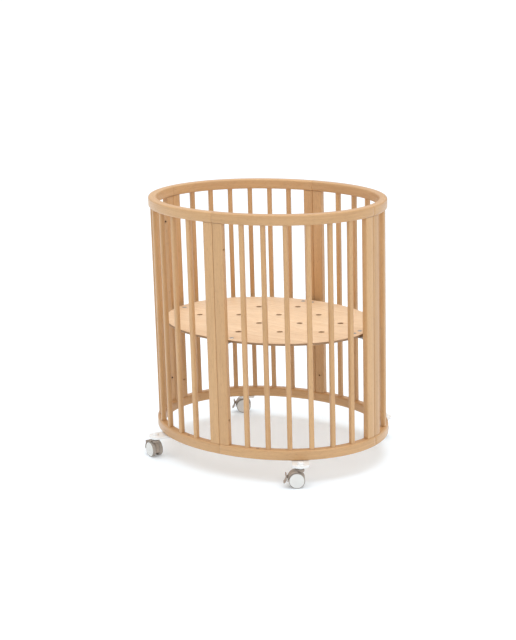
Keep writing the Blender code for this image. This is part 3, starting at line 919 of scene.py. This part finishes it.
def setOut(name, tree, itemMesh, places, finish, body):
    item = linked(name + "Item", itemMesh)
    seed = seedMesh(name + "Places", [m.to_translation() for m in places], (),
                    {"turn": [tuple(m.to_euler()) for m in places]})
    mesh = grown(name, tree, seed, {"Item": item, "Finish": finish})
    bpy.data.objects.remove(item, do_unlink=True)
    finished(name, mesh, finish, body, sharp=30)


def facing(point, direction):
    turn = direction.to_track_quat("Z", "Y").to_matrix().to_4x4()
    return Matrix.Translation(point) @ turn


def makeFasteners(zinc, black, cover, wood):
    tree = pointTree()
    onPlate, intoPosts, bolts, plugs, covers = [], [], [], [], []
    for number, joint in enumerate(joints):
        place = standing(joint)
        for side in (-1, 1):
            inset = base["edgeInset"] + base["screwInset"]
            across = side * base["screwSpread"]
            onPlate.append(place @ Matrix.Translation((-inset, across, baseTop - 0.0004)))
            face = -posts["depth"] / 2 - base["bracketClearance"] - base["bracketSheet"]
            point, normal = onOval(joint + side * posts["width"] / 2, face, screwHeight())
            intoPosts.append(facing(point, -normal))
            sunk = fasteners["boltSunk"] if side > 0 else 0.0
            for height in (clearBottom + posts["boltInset"], clearTop - posts["boltInset"]):
                along = place @ Vector((0, side * (posts["width"] - sunk), height))
                (bolts if side > 0 else plugs).append(facing(along, place.to_3x3() @ Vector((0, side, 0))))
        if number % 2:  # the front and back joints
            for panel in panels:
                start, end = spans[panel]
                if joint in (start, end):
                    side = 1 if joint == start else -1
                    clear = end - start - 2 * posts["width"]
                    pitch = (clear + slats["width"]) / (slats["count"] + 1)
                    along = joint + side * (posts["width"] + 1.5 * pitch - slats["width"] / 2)
                    covers.append(standing(along, 0.002, clearBottom - 0.0002))
    setOut("plateScrews", tree, washerScrewMesh(), onPlate, zinc, "mattress_base")
    setOut("bracketScrews", tree, screwMesh(), intoPosts, zinc, "mattress_base")
    setOut("panelBolts", tree, boltMesh(), bolts, black, "frame")
    setOut("boltPlugs", tree, plugMesh(), plugs, wood, "frame")
    setOut("railCovers", tree, coverMesh(), covers, cover, "frame")
    under = []
    for panel in panels:
        place = mountPlace(panel)
        for side in (-1, 1):
            spot = Vector((-caster["outboard"], side * caster["mountScrewSpread"],
                           frameBottom - rails["gap"] - caster["mountSheet"] + 0.0003))
            under.append(facing(place @ spot, Vector((0, 0, -1))))
    setOut("mountScrews", tree, screwMesh(), under, zinc, "frame")
    print("screws and bolts made")


# Casters, each made round its own swivel axis: axle behind it at +X

caster = {
    "outboard": 0.0440,
    "mountHalfWidth": 0.0275,
    "mountNose": 0.0215,
    "mountSheet": 0.0070,
    "mountScrewSpread": 0.016,
    "bossRadius": 0.0105,
    "wheelRadius": 0.026,
    "wheelWidth": 0.0125,
    "wheelSpace": 0.014,
    "sides": 64,
    "bodyWidth": 0.0124,
    "hoodInner": 0.0273,
    "hoodOuter": 0.0297,
    "hoodAngles": (-4, 100),
    "hoodGrooves": (0.0075, 0.0135),  # each side of its middle
    "webEnd": 128,
    "pedalWidth": 0.026,
    "pedalTang": 0.005,
    "pedalReach": 0.0318,
    "collarRadius": 0.012,
    "stemRadius": 0.0045,
    "socketRadius": 0.0055,
    "axleHole": 0.0045,
    "axlePin": 0.0040,
    "pedalHole": 0.0026,
    "hoodSteps": 40,
    "searchStep": 0.0005,             # along the oval, to find the arm's place
    "searchSteps": 60,
}
jointAt = {joint["name"]: Vector(joint["pos_m"]) for joint in frame["joints"] if "pos_m" in joint}
axleHeight = jointAt["wheel_spin_front_right"].z
trail = (jointAt["wheel_spin_front_right"] - jointAt["swivel_front_right"]).to_2d().length
collarTop = jointAt["swivel_front_right"].z
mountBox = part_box("caster_mount_front_right")


def casterPlace(panel):
    swivel = jointAt[f"swivel_{panel}"]
    heading = (jointAt[f"wheel_spin_{panel}"] - swivel).to_2d()
    turn = Matrix.Rotation(math.atan2(heading.y, heading.x), 4, "Z")
    return Matrix.Translation((swivel.x, swivel.y, 0)) @ turn


def mountPlace(panel):
    swivel = jointAt[f"swivel_{panel}"]
    quarterMiddle = (panels.index(panel) + 0.5) * quarter
    steps = caster["searchSteps"]
    along = min((quarterMiddle + caster["searchStep"] * k for k in range(-steps, steps + 1)),
                key=lambda a: (onOval(a, caster["outboard"])[0].xy - swivel.xy).length)
    return standing(along, caster["outboard"])


def around(radius, first, last, count):
    step = (last - first) / (count - 1)
    turns = [math.radians(first + step * i) for i in range(count)]
    return [(trail + radius * math.cos(a), axleHeight + radius * math.sin(a)) for a in turns]


def mountMesh():
    top = frameBottom - rails["gap"]
    low, high = mountBox[0].z, mountBox[1].z
    half, reach, heel = caster["mountHalfWidth"], caster["outboard"] + rails["depth"] / 2, 0.008
    nose = [(caster["mountNose"] * math.cos(a), half * math.sin(a)) for a in
            (math.radians(-90 + 180 * i / 28) for i in range(29))]
    heelArc = [(heel - reach - heel * math.sin(a), half - heel + heel * math.cos(a))
               for a in (math.radians(15 * i) for i in range(7))]
    arm = nose + heelArc + [(x, -y) for x, y in reversed(heelArc)]
    boss, under = caster["bossRadius"], top - caster["mountSheet"]

    def sheet(bm):
        prismInto(bm, arm, under, top, None, 0.0012, 3)

    def dome(bm):
        profile = [(low, 0.0), (low, boss - 0.0025), (low + 0.0008, boss - 0.0008),
                   (low + 0.002, boss - 0.0003), (under - 0.0025, boss - 0.0003),
                   (under - 0.0008, boss + 0.0006), (under + 0.001, boss + 0.0026),
                   (top - 0.001, boss + 0.0026), (top + 0.0008, boss + 0.0006),
                   (top + 0.0025, boss - 0.0003)]
        rise = high - top - 0.0035
        profile += [(top + 0.0035 + rise * math.sin(a), (boss - 0.0005) * math.cos(a) ** 0.45)
                    for a in (math.radians(10 + 20 * i) for i in range(4))]
        spunInto(bm, [*profile, (high, 0.0)], 40)

    def socket(bm):
        wide = caster["socketRadius"]
        spunInto(bm, [(low - 0.01, wide), (high - 0.003, wide)], 24)

    return carved("mount", meshFrom("mount", sheet), [("UNION", dome), ("DIFFERENCE", socket)])


def bodyMesh():
    axle = axleHeight
    first, last = caster["hoodAngles"]
    end = caster["webEnd"]
    web = [*around(caster["hoodOuter"] - 0.0005, first + 4, end - 4, 24),
           *around(caster["wheelRadius"] - 0.001, end + 12, 205, 12),
           (trail - 0.008, axle - 0.012), (trail + 0.008, axle - 0.010)]
    wheelSide = caster["wheelSpace"] / 2 + caster["wheelWidth"]
    tang = caster["pedalTang"] / 2 + 0.0006

    def plate(bm):
        prismInto(bm, web, -caster["bodyWidth"] / 2, caster["bodyWidth"] / 2, sideways, 0.0006, 2)

    def hood(bm):
        inside, outside, ease = caster["hoodInner"], caster["hoodOuter"], 0.0008
        section = [(-wheelSide + 0.0003, inside), (-wheelSide, inside + ease), (-wheelSide, outside - ease),
                   (-wheelSide + ease * 0.4, outside - ease * 0.4), (-wheelSide + ease, outside)]
        for groove in (-caster["hoodGrooves"][1], -caster["hoodGrooves"][0], *caster["hoodGrooves"]):
            section += [(groove - 0.0006, outside), (groove - 0.0003, outside - 0.0005),
                        (groove + 0.0003, outside - 0.0005), (groove + 0.0006, outside)]
        section += [(wheelSide - ease, outside), (wheelSide - ease * 0.4, outside - ease * 0.4),
                    (wheelSide, outside - ease), (wheelSide, inside + ease), (wheelSide - 0.0003, inside)]
        rings = []
        for i in range(caster["hoodSteps"] + 1):
            turn = math.radians(first + (last - first) * i / caster["hoodSteps"])
            rings.append([bm.verts.new((trail + r * math.cos(turn), y, axle + r * math.sin(turn)))
                          for y, r in section])
        for before, after in zip(rings, rings[1:]):
            for i in range(len(section)):
                j = (i + 1) % len(section)
                bm.faces.new((before[i], before[j], after[j], after[i]))
        for ring in (rings[0], rings[-1]):
            bm.faces.new(ring)

    def collar(bm):
        wide, thin, top = caster["collarRadius"], caster["stemRadius"], collarTop
        spunInto(bm, [(top - 0.007, 0.0), (top - 0.007, wide), (top - 0.0008, wide), (top, wide - 0.0008),
                      (top, thin), (mountBox[1].z - 0.004, thin), (mountBox[1].z - 0.0035, thin - 0.0005),
                      (mountBox[1].z - 0.0035, 0.0)], 40)

    def axleHole(bm):
        barrelInto(bm, Vector((trail, -0.02, axle)), Vector((trail, 0.02, axle)), caster["axleHole"])

    def slot(bm):
        front, low, high = trail + 0.0075, axle - 0.02, axle + 0.0185
        outline = [(front, low), (trail + 0.06, low), (trail + 0.06, high), (front, high)]
        prismInto(bm, outline, -tang, tang, sideways)

    steps = [("UNION", hood), ("UNION", collar), ("DIFFERENCE", axleHole), ("DIFFERENCE", slot)]
    return carved("body", meshFrom("body", plate), steps)


def wheelShapes():
    inner = caster["wheelSpace"] / 2
    outer = inner + caster["wheelWidth"]
    r = caster["wheelRadius"]
    tread = [(inner + 0.0004, 0.0048), (inner + 0.0004, 0.0120), (inner + 0.0030, 0.0135),
             (inner + 0.0030, 0.0205), (inner, 0.0220), (inner, r - 0.0018),
             (inner + 0.0004, r - 0.0007), (inner + 0.0014, r),
             (outer - 0.0022, r), (outer - 0.0010, r - 0.0004), (outer - 0.0005, r - 0.0011),
             (outer - 0.0008, r - 0.0017), (outer - 0.0026, r - 0.0018), (outer - 0.0026, 0.0048)]
    disc = [(outer - 0.0025, 0.0), (outer - 0.0025, r - 0.0023), (outer - 0.0007, r - 0.0023),
            (outer - 0.0001, r - 0.0029), (outer, r - 0.0044), (outer + 0.0002, 0.0160),
            (outer - 0.0003, 0.0155), (outer - 0.0003, 0.0150), (outer + 0.0003, 0.0145),
            (outer + 0.0005, 0.0070), (outer, 0.0066),
            (outer, 0.0062), (outer + 0.0006, 0.0058), (outer + 0.0008, 0.0030), (outer + 0.0008, 0.0)]
    return tread, disc


def makeCasters(white, taupe, tread, disc, zinc):
    treadProfile, discProfile = wheelShapes()
    axle = Matrix.Translation((trail, 0, axleHeight))
    sides = [axle @ Matrix.Rotation(math.radians(turn), 4, "X") for turn in (90, -90)]

    def treads(bm):
        for place in sides:
            spunInto(bm, treadProfile, caster["sides"], place, closed=True)

    def discs(bm):
        for place in sides:
            spunInto(bm, discProfile, caster["sides"], place)

    def pin(bm):
        reach = caster["wheelSpace"] / 2 + 0.002
        barrelInto(bm, Vector((trail, -reach, axleHeight)), Vector((trail, reach, axleHeight)),
                   caster["axlePin"], 24)

    mount, body = mountMesh(), bodyMesh()
    wheelTread, wheelDisc = meshFrom("treads", treads), meshFrom("discs", discs)
    wheelPin, pedal = meshFrom("pin", pin), pedalMesh()
    for panel in panels:
        place = casterPlace(panel)
        swivelBody, wheelBody = f"swivel_{panel}", f"wheels_{panel}"
        rows = [
            ("casterMount", mount, mountPlace(panel), white, "frame", "white_plastic", "caster_mount"),
            ("casterBody", body, place, taupe, swivelBody, "taupe_plastic", "caster_body"),
            ("wheelTreads", wheelTread, place, tread, wheelBody, "wheel_plastic", "caster_wheels"),
            ("wheelDiscs", wheelDisc, place, disc, wheelBody, "wheel_plastic", None),
            ("wheelAxle", wheelPin, place, zinc, wheelBody, None, None),
            ("brakePedal", pedal, place, taupe, f"pedal_{panel}", "taupe_plastic", "brake_pedal"),
        ]
        for name, mesh, matrix, finish, bodyName, slotName, node in rows:
            finished(f"{name}.{panel}", placedCopy(mesh, matrix), finish, bodyName,
                     [f"{node}_{panel}"] if node else [], sharp=32)
    print("casters made")


pedalShape = {
    "pivot": (0.016, 0.011),          # from the axle: backwards and up
    "inner": [(0.0026, 0.0210), (0.0014, 0.0185), (0.0006, 0.0160), (0.0001, 0.0130),
              (0.0, 0.010), (0.0, 0.005), (0.0004, 0.0015), (0.0014, -0.0020),
              (0.0032, -0.0050), (0.0058, -0.0077), (0.0090, -0.0098)],
    "outer": [(0.0050, 0.0207), (0.0044, 0.0183), (0.0039, 0.0158), (0.0036, 0.0130),
              (0.0035, 0.010), (0.0034, 0.006), (0.0036, 0.0022), (0.0045, -0.0006),
              (0.0060, -0.0032), (0.0082, -0.0056), (0.0108, -0.0078)],
}


def pedalMesh():
    # The blade bows towards the hood at its middle and flares away at its tips
    reach = trail + caster["pedalReach"]
    pivot = (trail + pedalShape["pivot"][0], axleHeight + pedalShape["pivot"][1])
    blade = [(reach + x, axleHeight + z) for x, z in
             [*pedalShape["inner"], *reversed(pedalShape["outer"])]]
    end = reach - pivot[0] + 0.0012
    tang = [(pivot[0] + x, pivot[1] + z) for x, z in
            [(-0.0045, -0.0035), (0.0, -0.0052), (end, -0.0062), (end, 0.0032), (0.0, 0.0045),
             (-0.0045, 0.0035)]]

    def plate(bm):
        prismInto(bm, blade, -caster["pedalWidth"] / 2, caster["pedalWidth"] / 2, sideways, 0.0008, 3)

    def arm(bm):
        prismInto(bm, tang, -caster["pedalTang"] / 2, caster["pedalTang"] / 2, sideways)

    def hole(bm):
        barrelInto(bm, Vector((pivot[0], -0.01, pivot[1])), Vector((pivot[0], 0.01, pivot[1])),
                   caster["pedalHole"], 20)

    return carved("pedal", meshFrom("pedal", plate), [("UNION", arm), ("DIFFERENCE", hole)])


# Making everything

beech = beechFinish()
plywood = plywoodFinish(baseTop - base["thickness"], base["thickness"])
zincSteel, blackSteel = steelFinish("zincSteel"), steelFinish("blackSteel")
plastics = {name: plasticFinish(name) for name in plasticLooks}
makeRails(beech)
makeSlats(beech)
makePosts(beech)
makePlate(plywood)
makeBrackets(zincSteel)
makeCasters(plastics["whitePlastic"], plastics["taupePlastic"], plastics["treadRubber"],
            plastics["discPlastic"], zincSteel)
makeFasteners(zincSteel, blackSteel, plastics["coverPlastic"], beech)


# Floor, light and camera

studio = {
    "floorSize": 90.0,
    "floorColour": (0.765, 0.83, 0.885, 1),
    "floorGlow": 0.20,
    "skyLow": 0.30,               # brightness at the horizon
    "skyHigh": 1.52,              # and straight above
    "keyPower": 14.0,
    "keySize": 2.6,
    "keyPlace": (-2.2, -2.0, 4.0),
    "topPower": 34.0,
    "topSize": 3.6,
    "topPlace": (0.4, 0.3, 4.2),
    "fillPower": 20.0,
    "fillSize": 3.0,
    "fillPlace": (3.6, -1.6, 2.4),
    "aimHeight": 0.4,
}


def softLight(name, place, size, power):
    lamp = bpy.data.lights.new(name, "AREA")
    lamp.shape = "DISK"
    lamp.size = size
    lamp.energy = power
    light = linked(name, lamp)
    light.location = place
    aim = Vector((0, 0, studio["aimHeight"])) - Vector(place)
    light.rotation_euler = aim.to_track_quat("-Z", "Y").to_euler()


def makeStudio():
    floorMaterial, graph, feed, bump = newFinish("floor", {"roughness": 0.85})
    shader = floorMaterial.node_tree.nodes["Principled BSDF"]
    shader.inputs["Emission Color"].default_value = (1, 1, 1, 1)
    shader.inputs["Emission Strength"].default_value = studio["floorGlow"]
    place = graph.objectPlace()
    mottle = graph.noise(place, 2.0, 2.0)
    colour = studio["floorColour"]
    darker = tuple(0.99 * c for c in colour[:3]) + (1,)
    feed("Base Color", graph.blend(mottle, colour, darker))
    half = studio["floorSize"] / 2
    mesh = bpy.data.meshes.new("floor")
    mesh.from_pydata([(-half, -half, 0), (half, -half, 0), (half, half, 0), (-half, half, 0)], [],
                     [(0, 1, 2, 3)])
    mesh.materials.append(floorMaterial)
    linked("floor", mesh)
    world = bpy.data.worlds.new("studio")
    world.use_nodes = True
    sky = world.node_tree.nodes["Background"]
    skyGraph = Graph(world.node_tree)
    direction = skyGraph.add("ShaderNodeTexCoord", None, None, "Generated")
    height = skyGraph.axisOf(direction, 2)
    risen = skyGraph.add("ShaderNodeMath", {"operation": "MAXIMUM"}, {0: height, 1: 0.0})
    glow = risen * (studio["skyHigh"] - studio["skyLow"]) + studio["skyLow"]
    world.node_tree.links.new(glow.socket, sky.inputs["Strength"])
    sky.inputs["Color"].default_value = (1, 1, 1, 1)
    bpy.context.scene.world = world
    for name in ("key", "top", "fill"):
        softLight(name, studio[name + "Place"], studio[name + "Size"], studio[name + "Power"])
    bpy.context.scene.view_settings.view_transform = "Standard"


view = {
    "azimuth": 0.5804,            # radians to the right of the front
    "elevation": 0.2577,
    "roll": 0.0254,
    "distance": 4.991,
    "target": (0, 0, 0.4495),
    "lens": 83.82,
    "shift": (-0.01732, -0.0011),
    "sensorWidth": 36,
    "clipEnd": 100,
}


def makeCamera():
    az, el, roll = view["azimuth"], view["elevation"], view["roll"]
    back = Vector((math.sin(az) * math.cos(el), -math.cos(az) * math.cos(el), math.sin(el)))
    right = Vector((math.cos(az), math.sin(az), 0))
    up = right.cross(-back)
    x = right * math.cos(roll) - up * math.sin(roll)
    y = right * math.sin(roll) + up * math.cos(roll)
    turn = Matrix((x, y, back)).transposed().to_4x4()
    lensData = bpy.data.cameras.new("camera")
    lensData.lens = view["lens"]
    lensData.sensor_width = view["sensorWidth"]
    lensData.shift_x, lensData.shift_y = view["shift"]
    lensData.clip_end = view["clipEnd"]
    camera = linked("camera", lensData)
    camera.matrix_world = Matrix.Translation(Vector(view["target"]) + back * view["distance"]) @ turn
    bpy.context.scene.camera = camera


makeStudio()
makeCamera()
print("studio ready")
